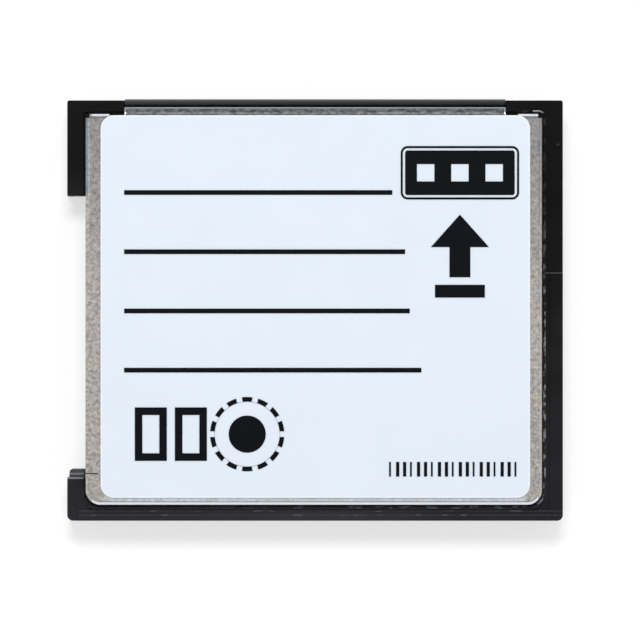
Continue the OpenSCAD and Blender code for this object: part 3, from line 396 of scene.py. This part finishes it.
def satin_colour(tree, place, base, specks, on_bend, sizes):
    """Tumbled satin: clouds a little warmer and cooler, with bright and dull specks over them."""
    across, along, up = add_node(tree, "SeparateXYZ", Vector=place).outputs
    (left_edge, rear_edge), _, _, _ = pan_outline(sizes)
    clouds = add_node(tree, "TexNoise", Vector=place, Scale=per_metre(1.3), Detail=2.0)
    warmth = add_node(tree, "MapRange", Value=clouds, From_Min=0.35, From_Max=0.65)
    cool, warm = tinted(base, 0.96, 0.99, 1.03), tinted(base, 1.04, 1.01, 0.97)
    tinge = add_node(tree, "Mix", data_type="RGBA", Factor=warmth, i6=cool, i7=warm)

    # Painted shade: towards the connector the sheet is made duller and bluer.
    forward = add_node(tree, "MapRange", Value=along, From_Max=14 * MM, To_Max=0.75)
    duller = tinted(base, 0.56, 0.58, 0.62)
    tinge = add_node(tree, "Mix", data_type="RGBA", Factor=forward, i6=tinge, i7=duller)

    # Painted shade: the left bend is duller and bluer too, where it faces the front arm and not the open
    # slot.
    bend_ends = left_edge + sizes.pan_bend
    left = add_node(tree, "Math", operation="LESS_THAN", i0=across, i1=bend_ends)
    left = add_node(tree, "Math", operation="MULTIPLY", i0=left, i1=on_bend)
    arm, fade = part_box("rail_frame")[0][1] + sizes.slot_front, 0.3 * MM
    facing = add_node(tree, "MapRange", Value=along, From_Min=arm - fade, From_Max=arm + fade)
    bluer = tinted(base, 0.54, 0.64, 0.74)
    bend = add_node(tree, "Mix", data_type="RGBA", Factor=facing, i6=base, i7=bluer)
    tinge = add_node(tree, "Mix", data_type="RGBA", Factor=left, i6=tinge, i7=bend)

    # Behind the label, short of the corners, where the rear bend begins: smoother, and paler with a
    # painted highlight.
    behind = add_node(
        tree,
        "MapRange",
        Value=along,
        From_Min=rear_edge + 0.7 * MM,
        From_Max=rear_edge + 1.0 * MM,
        To_Min=1.0,
        To_Max=0.0,
    )
    inward = add_node(
        tree,
        "MapRange",
        Value=add_node(tree, "Math", operation="ABSOLUTE", i0=across),
        From_Min=-left_edge - 2.1 * MM,
        From_Max=-left_edge - 1.3 * MM,
        To_Min=1.0,
        To_Max=0.0,
    )
    on_top = add_node(tree, "Math", operation="GREATER_THAN", i0=up, i1=sizes.rail_height)
    for mask in (inward, on_top):
        behind = add_node(tree, "Math", operation="MULTIPLY", i0=behind, i1=mask)
    paler = tinted(base, 1.38, 1.5, 1.68)
    tinge = add_node(tree, "Mix", data_type="RGBA", Factor=behind, i6=tinge, i7=paler)

    light = add_node(
        tree, "MapRange", Value=specks, From_Min=0.35, From_Max=0.65, To_Min=0.72, To_Max=1.2
    )
    smoothed = add_node(tree, "Math", operation="MULTIPLY", i0=behind, i1=0.7)
    light = add_node(tree, "Mix", data_type="FLOAT", i0=smoothed, i2=light, i3=1.0)
    return add_node(tree, "VectorMath", operation="SCALE", i0=tinge, Scale=light)


def tongue_shade_colour(tree, place, bright):
    """Painted shade on the tongue: dark, and streaked as the sheet was rolled."""
    drawn_out = add_node(tree, "VectorMath", operation="MULTIPLY", i0=place, i1=(0.55, 1.0, 1.0))
    streaks = add_node(tree, "TexNoise", Vector=drawn_out, Scale=per_metre(0.25), Detail=3.0)
    streaked_shade = add_node(
        tree, "MapRange", Value=streaks, From_Min=0.36, From_Max=0.64, To_Min=0.1, To_Max=0.28
    )
    return add_node(tree, "VectorMath", operation="SCALE", i0=bright, Scale=streaked_shade)


def tongue_mask(tree, place, sizes):
    """Where the pan steps down and its tongue runs out over the connector."""
    across, along, up = add_node(tree, "SeparateXYZ", Vector=place).outputs
    half_depth = (sizes.tongue_reach + sizes.pan_bend) / 2
    middle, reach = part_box("back_cover")[1][1] - half_depth, half_depth - 0.08 * MM
    mask = add_node(tree, "Math", operation="COMPARE", i0=along, i1=middle, i2=reach)
    half_width, low = sizes.tongue_width / 2, sizes.rail_height - 0.4 * MM
    midway = add_node(tree, "Math", operation="COMPARE", i0=across, i1=0.0, i2=half_width)
    raised = add_node(tree, "Math", operation="GREATER_THAN", i0=up, i1=low)
    for other in (midway, raised):
        mask = add_node(tree, "Math", operation="MULTIPLY", i0=mask, i1=other)
    return mask


def painted_highlight_mask(tree, place, on_bend, on_tongue, sizes):
    """Where highlights are painted on the sheet: the front and rear bends, and the tongue's tip and ends.
    """
    across, along, _ = add_node(tree, "SeparateXYZ", Vector=place).outputs
    _, (right, front, _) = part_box("back_cover")
    inside = edge_distance(tree, place, *pan_outline(sizes))
    # The rear bend's painted highlight begins further in.
    rear = add_node(tree, "Math", operation="LESS_THAN", i0=along, i1=0.0)
    further = 0.35 * sizes.pan_bend
    reach = add_node(tree, "Math", operation="MULTIPLY_ADD", i0=rear, i1=further, i2=inside)
    dull_until, bright_from = -0.58 * sizes.pan_bend, -0.42 * sizes.pan_bend
    mask = add_node(tree, "MapRange", Value=reach, From_Min=dull_until, From_Max=bright_from)
    off_side = add_node(
        tree, "Math", operation="COMPARE", i0=across, i1=0.0, i2=right - sizes.pan_bend
    )
    off_tongue = add_node(tree, "Math", operation="SUBTRACT", i0=1.0, i1=on_tongue)
    for other in (on_bend, off_side, off_tongue):
        mask = add_node(tree, "Math", operation="MULTIPLY", i0=mask, i1=other)

    tip = add_node(tree, "Math", operation="GREATER_THAN", i0=along, i1=front - 0.09 * MM)
    outward = add_node(tree, "Math", operation="ABSOLUTE", i0=across)
    cut_edge, half_width = sizes.tongue_width / 2 - 0.04 * MM, 0.07 * MM
    ends = add_node(tree, "Math", operation="COMPARE", i0=outward, i1=cut_edge, i2=half_width)
    ends = add_node(tree, "Math", operation="MULTIPLY", i0=ends, i1=on_tongue)
    for other in (tip, ends):
        mask = add_node(tree, "Math", operation="MAXIMUM", i0=mask, i1=other)
    return mask


def satin_stainless(name, base, painted_highlight, sizes):
    """Satin stainless sheet, tumbled after pressing: even specks, smoother bends with painted highlights,
    and painted shade on the tongue.
    """
    material, tree = fresh_material(name)
    place = add_node(tree, "TexCoord").outputs["Object"]
    _, along, up = add_node(tree, "SeparateXYZ", Vector=place).outputs
    _, (_, front, top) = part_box("back_cover")
    # The tumbled grain is finer than this; 0.3 mm is as coarse as it needs to be to show.
    specks = add_node(tree, "TexNoise", Vector=place, Scale=per_metre(0.3), Detail=4.0, Roughness=0.7)
    bend_height = top - 1.1 * sizes.pan_bend
    on_bend = add_node(tree, "Math", operation="GREATER_THAN", i0=up, i1=bend_height)
    on_tongue = tongue_mask(tree, place, sizes)
    satin = satin_colour(tree, place, base, specks, on_bend, sizes)
    # Painted shade takes the satin's place over the tongue.
    tongue_shade = tongue_shade_colour(tree, place, painted_highlight)
    sheet = add_node(tree, "Mix", data_type="RGBA", Factor=on_tongue, i6=satin, i7=tongue_shade)

    # Painted shade: a dark line where the front bend begins.
    bend_shade_middle = front - sizes.tongue_reach - 0.85 * sizes.pan_bend
    bend_shade_reach = 0.27 * sizes.pan_bend
    bend_start_shade = add_node(tree, "Math", operation="COMPARE", i0=along, i1=bend_shade_middle, i2=bend_shade_reach)
    dull = add_node(tree, "Math", operation="MULTIPLY_ADD", i0=bend_start_shade, i1=-0.42, i2=1.0)
    sheet = add_node(tree, "VectorMath", operation="SCALE", i0=sheet, Scale=dull)

    # Painted highlight on the bends and along the tongue's tip and ends.
    bright = painted_highlight_mask(tree, place, on_bend, on_tongue, sizes)
    sheet = add_node(tree, "Mix", data_type="RGBA", Factor=bright, i6=sheet, i7=painted_highlight)
    gloss = add_node(
        tree, "MapRange", Value=specks, From_Min=0.3, From_Max=0.7, To_Min=0.4, To_Max=0.56
    )
    polish_and_sheen = add_node(tree, "MapRange", Value=bright, To_Min=1.0, To_Max=0.65)
    gloss = add_node(tree, "Math", operation="MULTIPLY", i0=gloss, i1=polish_and_sheen)
    bump = add_node(tree, "Bump", Strength=0.5, Distance=0.004 * MM, Height=specks)
    shader = add_node(
        tree, "BsdfPrincipled", Base_Color=sheet, Metallic=1.0, Roughness=gloss, Normal=bump
    )
    add_node(tree, "OutputMaterial", Surface=shader)
    return material


def polyester_film(name, base, edge, sizes):
    """Matt-coated polyester film: even cool white, with a painted highlight along its cut edge."""
    material, tree = fresh_material(name)
    place = add_node(tree, "TexCoord").outputs["Object"]
    low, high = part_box("back_label")
    inside = edge_distance(tree, place, low[:2], high[:2], sizes.label_radius, sizes.label_radius)
    # A painted highlight just inside the cut edge.
    rim = add_node(tree, "MapRange", Value=inside, From_Min=-0.16 * MM, From_Max=-0.05 * MM)
    clouds = add_node(tree, "TexNoise", Vector=place, Scale=per_metre(5), Detail=3.0)
    dark, light = shaded(base, -0.02), shaded(base, 0.02)
    shade = add_node(tree, "Mix", data_type="RGBA", Factor=clouds, i6=dark, i7=light)
    shade = add_node(tree, "Mix", data_type="RGBA", Factor=rim, i6=shade, i7=edge)
    gloss = add_node(tree, "MapRange", Value=clouds, To_Min=0.36, To_Max=0.5)
    shader = add_node(tree, "BsdfPrincipled", Base_Color=shade, Roughness=gloss, IOR=1.5)
    add_node(tree, "OutputMaterial", Surface=shader)
    return material


def solder_masked_board(name, mask, trace):
    """Green lacquer flowed over copper: glossy, with paler raised traces that run straight across."""
    material, tree = fresh_material(name)
    place = add_node(tree, "TexCoord").outputs["Object"]
    # Traces 0.12 mm wide, half a millimetre apart, broken into runs of 3 mm.
    traces = add_node(
        tree,
        "TexBrick",
        offset=0.37,
        Vector=place,
        Color1=(0.0, 0.0, 0.0),
        Color2=(0.0, 0.0, 0.0),
        Mortar=(1.0, 1.0, 1.0),
        Scale=per_metre(1),
        Mortar_Size=0.06,
        Brick_Width=3.0,
        Row_Height=0.5,
    ).outputs["Fac"]
    patches = add_node(tree, "TexNoise", Vector=place, Scale=per_metre(1.5), Detail=2.0)
    dark, light = shaded(mask, -0.15), shaded(mask, 0.15)
    lacquer = add_node(tree, "Mix", data_type="RGBA", Factor=patches, i6=dark, i7=light)
    shade = add_node(tree, "Mix", data_type="RGBA", Factor=traces, i6=lacquer, i7=trace)
    gloss = add_node(tree, "MapRange", Value=patches, To_Min=0.2, To_Max=0.34)
    bump = add_node(tree, "Bump", Strength=0.7, Distance=0.03 * MM, Height=traces)
    shader = add_node(tree, "BsdfPrincipled", Base_Color=shade, Roughness=gloss, IOR=1.5, Normal=bump)
    add_node(tree, "OutputMaterial", Surface=shader)
    return material


def plain_finish(name, base, roughness, metallic=0.0, spot=0.6, change=0.12, gloss_level=0.5):
    """A small part's finish with faint patches of colour and gloss."""
    material, tree = fresh_material(name)
    place = add_node(tree, "TexCoord").outputs["Object"]
    patches = add_node(tree, "TexNoise", Vector=place, Scale=per_metre(spot), Detail=3.0)
    dark, light = shaded(base, -change), shaded(base, change)
    shade = add_node(tree, "Mix", data_type="RGBA", Factor=patches, i6=dark, i7=light)
    gloss = add_node(
        tree, "MapRange", Value=patches, To_Min=roughness * 0.8, To_Max=roughness * 1.2
    )
    shader = add_node(
        tree,
        "BsdfPrincipled",
        Base_Color=shade,
        Metallic=metallic,
        Roughness=gloss,
        Specular_IOR_Level=gloss_level,
    )
    add_node(tree, "OutputMaterial", Surface=shader)
    return material


def seamless_paper(name, base):
    """Seamless paper: matt and white to the eye, while it still takes the part's soft shadow."""
    paper, tree = fresh_material(name)
    rays = add_node(tree, "LightPath").outputs
    seen = rays["Is Camera Ray"]
    for ray in ("Is Glossy Ray", "Is Transmission Ray"):
        seen = add_node(tree, "Math", operation="MAXIMUM", i0=seen, i1=rays[ray])
    # About half of what is seen is an even glow, a little over white to make up for the darker lit half.
    glow_share, glow_strength = 0.49, 1.22
    share = add_node(tree, "Math", operation="MULTIPLY", i0=seen, i1=glow_share)
    lit = add_node(tree, "BsdfPrincipled", Base_Color=base, Roughness=0.8)
    glow = add_node(tree, "Emission", Color=(1.0, 1.0, 1.0), Strength=glow_strength)
    mixed = add_node(tree, "MixShader", i0=share, i1=lit, i2=glow)
    add_node(tree, "OutputMaterial", Surface=mixed)
    return paper


def studio_tent(name):
    """A white tent: its walls look white in metal and light the part a little less; its top is dim."""
    world = bpy.data.worlds.new(name)
    world.use_nodes = True
    tree = world.node_tree
    tree.nodes.clear()
    direction = add_node(tree, "TexCoord").outputs["Generated"]
    height = add_node(tree, "SeparateXYZ", Vector=direction).outputs["Z"]
    rays = add_node(tree, "LightPath").outputs
    metal, glass = rays["Is Glossy Ray"], rays["Is Transmission Ray"]
    mirrored = add_node(tree, "Math", operation="MAXIMUM", i0=metal, i1=glass)
    wall_light, overhead_light = 0.8, 0.14
    # The wall gives way to the dim top between 41 and 66 degrees up; these are their sines.
    fade_from, fade_to = 0.66, 0.91
    wall = add_node(
        tree, "Math", operation="MULTIPLY_ADD", i0=mirrored, i1=1 - wall_light, i2=wall_light
    )
    glow = add_node(
        tree,
        "MapRange",
        Value=height,
        From_Min=fade_from,
        From_Max=fade_to,
        To_Min=wall,
        To_Max=overhead_light,
    )
    # The camera sees plain white all round.
    glow = add_node(tree, "Math", operation="MAXIMUM", i0=glow, i1=rays["Is Camera Ray"])
    tent = add_node(tree, "Background", Color=(0.97, 0.985, 1.0), Strength=glow)
    add_node(tree, "OutputWorld", Surface=tent)
    return world


def dress(node_name, material):
    """Gives a CAD node's own object a finish."""
    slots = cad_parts[node_name].data.materials
    slots.clear()
    slots.append(material)


def softened(node_name, piece_name, radius, steps, material, join_faces=True):
    """A copy of a node's mesh with its sharp edges rounded, which stands for the node."""
    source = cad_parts[node_name]
    piece = bpy.data.objects.new(piece_name, source.data.copy())
    piece.data.name = piece_name
    bpy.context.scene.collection.objects.link(piece)
    piece.data.materials.clear()
    piece.data.materials.append(material)
    bpy.ops.object.select_all(action="DESELECT")
    piece.select_set(True)
    bpy.context.view_layer.objects.active = piece
    bpy.ops.object.mode_set(mode="EDIT")
    bpy.ops.mesh.select_all(action="SELECT")
    bpy.ops.mesh.remove_doubles(threshold=SAME_POINT)
    if join_faces:
        bpy.ops.mesh.dissolve_limited(angle_limit=FLAT_ANGLE)
    bpy.ops.object.mode_set(mode="OBJECT")
    bevel = piece.modifiers.new("Edge", "BEVEL")
    bevel.width = radius
    bevel.segments = steps
    bevel.limit_method = "ANGLE"
    bevel.angle_limit = SHARP_ANGLE
    bevel.miter_outer = "MITER_ARC"
    bevel.use_clamp_overlap = True
    bpy.ops.object.modifier_apply(modifier=bevel.name)
    bpy.ops.object.shade_smooth_by_angle(angle=SHARP_ANGLE)
    flat = piece.modifiers.new("Flat faces", "WEIGHTED_NORMAL")
    flat.keep_sharp = True
    bpy.ops.object.modifier_apply(modifier=flat.name)
    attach(piece, BODY)
    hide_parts(node_name)


class ADAPTER_OT_frame(bpy.types.Operator):
    """Softens the moulded frame and gives it black grained plastic"""

    bl_idname = "adapter.frame"
    bl_label = "Moulded frame"

    def execute(self, context):
        sizes, colours = context.scene.adapter_sizes, context.scene.adapter_colours
        # The frame shows real scuffs, and painted highlights and sheen on its rims, steps and lip.
        plastic = moulded_plastic(
            "spark_eroded_black_plastic",
            tuple(colours.plastic),
            tuple(colours.patch_and_sheen_grey),
            0.3,
            pale=tuple(colours.scuff_and_highlight_grey),
            paleness=lambda tree, place: frame_scuffs_and_highlights(tree, place, sizes),
            gloss_level=0.23,
        )
        edge, steps = sizes.frame_edge, sizes.edge_steps
        softened("rail_frame", "moulded_frame", edge, steps, plastic)
        return {"FINISHED"}


class ADAPTER_OT_covers(bpy.types.Operator):
    """Softens the pressed covers and gives them satin stainless steel"""

    bl_idname = "adapter.covers"
    bl_label = "Pressed covers"

    def execute(self, context):
        sizes, colours = context.scene.adapter_sizes, context.scene.adapter_colours
        bright = tuple(colours.painted_highlight)
        steel = satin_stainless("satin_stainless_sheet", tuple(colours.steel), bright, sizes)
        edge, steps = sizes.sheet_edge, sizes.edge_steps
        for node_name in ("back_cover", "front_cover"):
            softened(node_name, "pressed_" + node_name, edge, steps, steel)
        return {"FINISHED"}


class ADAPTER_OT_label(bpy.types.Operator):
    """Softens the label's die-cut edge and gives film and print their finishes"""

    bl_idname = "adapter.label"
    bl_label = "Label and print"

    def execute(self, context):
        sizes, colours = context.scene.adapter_sizes, context.scene.adapter_colours
        # The cut edge's colour is a painted highlight.
        white, cut = tuple(colours.film), tuple(colours.film_edge_highlight)
        film = polyester_film("matt_polyester_film", white, cut, sizes)
        edge, steps = sizes.label_edge, sizes.edge_steps
        softened("back_label", "die_cut_label", edge, steps, film)
        # Screen-printed ink: a dense flat black that hardly shines.
        black = tuple(colours.ink)
        ink = plain_finish("screen_printed_ink", black, 0.5, spot=0.8, change=0.2, gloss_level=0.1)
        for node_name in ("writing_lines", "label_marks"):
            dress(node_name, ink)
        return {"FINISHED"}


class ADAPTER_OT_connector(bpy.types.Operator):
    """Softens the connector housing and gives housing and contacts their finishes"""

    bl_idname = "adapter.connector"
    bl_label = "Edge connector"

    def execute(self, context):
        sizes, colours = context.scene.adapter_sizes, context.scene.adapter_colours
        # Glass fibres near the surface make this plastic paler and duller than the frame's.
        grey = tuple(colours.connector)
        housing = moulded_plastic("glass_filled_connector_plastic", grey, shaded(grey, 0.4), 0.42, 0.18)
        # Its face has fifty openings, so its triangles stay apart.
        softened(
            "connector_housing",
            "moulded_connector",
            sizes.housing_edge,
            sizes.edge_steps,
            housing,
            join_faces=False,
        )
        # A thin flash of gold over nickel: warm, bright, with narrow highlights along each contact.
        gold = plain_finish("gold_flash_on_nickel", tuple(colours.gold), 0.24, 1.0, 0.5, 0.06)
        for node_name in ("upper_contacts", "lower_contacts", "card_contacts"):
            dress(node_name, gold)
        return {"FINISHED"}


class ADAPTER_OT_board(bpy.types.Operator):
    """Gives the circuit board and the parts on it their finishes"""

    bl_idname = "adapter.board"
    bl_label = "Circuit board"

    def execute(self, context):
        colours = context.scene.adapter_colours
        green, copper = tuple(colours.mask), tuple(colours.trace)
        dress("circuit_board", solder_masked_board("green_solder_mask", green, copper))
        # Electroplated tin: a whitish mirror, a little blurred and clouded.
        tin = plain_finish("bright_tin_plate", tuple(colours.tin), 0.3, 1.0, 0.4, 0.08)
        for node_name in ("regulator_leads", "oscillator_crystal"):
            dress(node_name, tin)
        # Silica-filled moulding epoxy: charcoal rather than black, dull, with a speckle of filler.
        epoxy = plain_finish("moulded_chip_epoxy", tuple(colours.epoxy), 0.55, 0.0, 0.2, 0.25)
        for node_name in ("bridge_chip", "voltage_regulator", "pull_up_resistors"):
            dress(node_name, epoxy)
        # Amber epoxy moulded round a capacitor: an even mustard with a soft sheen.
        dress("tantalum_capacitor", plain_finish("amber_moulded_epoxy", tuple(colours.amber), 0.5))
        # Fired ceramic, unglazed: matt tan, mottled.
        dress("filter_capacitors", plain_finish("fired_tan_ceramic", tuple(colours.ceramic), 0.45))
        return {"FINISHED"}


class ADAPTER_OT_socket(bpy.types.Operator):
    """Gives the card socket's insulator, shell and springs their finishes"""

    bl_idname = "adapter.socket"
    bl_label = "Card socket"

    def execute(self, context):
        colours = context.scene.adapter_colours
        # The same kind of plastic as the connector's, from a rougher tool, so duller still.
        grey = tuple(colours.connector)
        insulator = moulded_plastic("black_socket_insulator", grey, shaded(grey, 0.4), 0.5, 0.18)
        dress("card_insulator", insulator)
        # Bright-rolled spring steel: smoother and glossier than the covers, as the rolls left it.
        steel = plain_finish("bright_rolled_spring_steel", tuple(colours.steel), 0.26, 1.0, 0.8, 0.08)
        blades = ("card_detect_spring", "card_detect_post", "write_protect_spring")
        for node_name in ("socket_shell", *blades):
            dress(node_name, steel)
        return {"FINISHED"}


class ADAPTER_OT_stage(bpy.types.Operator):
    """Sets the pale floor, the soft light and the camera"""

    bl_idname = "adapter.stage"
    bl_label = "Studio stage"

    def execute(self, context):
        scene = context.scene
        sizes, colours = scene.adapter_sizes, scene.adapter_colours
        scene.view_settings.view_transform = "Standard"
        scene.world = studio_tent("studio_tent")

        # The floor is a hair lower than the part, so that their faces never coincide.
        bpy.ops.object.select_all(action="DESELECT")
        bpy.ops.mesh.primitive_plane_add(size=3, location=(0, 0, -0.02 * MM))
        floor = context.active_object
        floor.name = "studio_floor"
        floor.data.materials.append(seamless_paper("seamless_white_paper", tuple(colours.floor)))

        # The softbox hangs past the connector end, so the soft shadow falls past the finger lip.
        lamp = bpy.data.lights.new("rear_softbox", "AREA")
        lamp.shape = "RECTANGLE"
        lamp.size, lamp.size_y = 0.35, 0.22
        lamp.energy = 4.1
        softbox = bpy.data.objects.new("rear_softbox", lamp)
        softbox.location = (-0.02, 0.45, 0.75)
        towards_part = Vector((0, 0, 0)) - softbox.location
        softbox.rotation_euler = towards_part.to_track_quat("-Z", "Y").to_euler()
        scene.collection.objects.link(softbox)

        lens = bpy.data.cameras.new("overhead_camera")
        lens.sensor_width = 36
        lens.lens = lens.sensor_width * sizes.camera_height / sizes.view_width
        lens.clip_start, lens.clip_end = 0.01, 10
        camera = bpy.data.objects.new("overhead_camera", lens)
        label_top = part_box("back_label")[1][2]
        camera.location = (sizes.view_x, sizes.view_y, label_top + sizes.camera_height)
        scene.collection.objects.link(camera)
        scene.camera = camera
        return {"FINISHED"}


STEPS = (
    ADAPTER_OT_stage,
    ADAPTER_OT_frame,
    ADAPTER_OT_covers,
    ADAPTER_OT_label,
    ADAPTER_OT_connector,
    ADAPTER_OT_board,
    ADAPTER_OT_socket,
)


class ADAPTER_PT_panel(bpy.types.Panel):
    """Lists the steps of the adapter's finish, and its sizes and colours"""

    bl_label = "Card adapter"
    bl_idname = "ADAPTER_PT_panel"
    bl_space_type = "VIEW_3D"
    bl_region_type = "UI"
    bl_category = "Adapter"

    def draw(self, context):
        for step in STEPS:
            self.layout.operator(step.bl_idname)
        for group in (context.scene.adapter_sizes, context.scene.adapter_colours):
            box = self.layout.box()
            for name in type(group).__annotations__:
                box.prop(group, name)


CLASSES = (AdapterSizes, AdapterColours, *STEPS, ADAPTER_PT_panel)


def register():
    """Registers the classes and hangs the sizes and colours on the scene."""
    for cls in CLASSES:
        bpy.utils.register_class(cls)
    bpy.types.Scene.adapter_sizes = PointerProperty(type=AdapterSizes)
    bpy.types.Scene.adapter_colours = PointerProperty(type=AdapterColours)


def unregister():
    """Takes all of that away again."""
    del bpy.types.Scene.adapter_colours
    del bpy.types.Scene.adapter_sizes
    for cls in reversed(CLASSES):
        bpy.utils.unregister_class(cls)


def main():
    """Registers the add-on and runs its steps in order."""
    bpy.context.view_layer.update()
    register()
    bpy.ops.adapter.stage()
    bpy.ops.adapter.frame()
    bpy.ops.adapter.covers()
    bpy.ops.adapter.label()
    bpy.ops.adapter.connector()
    bpy.ops.adapter.board()
    bpy.ops.adapter.socket()


if __name__ == "__main__":
    main()
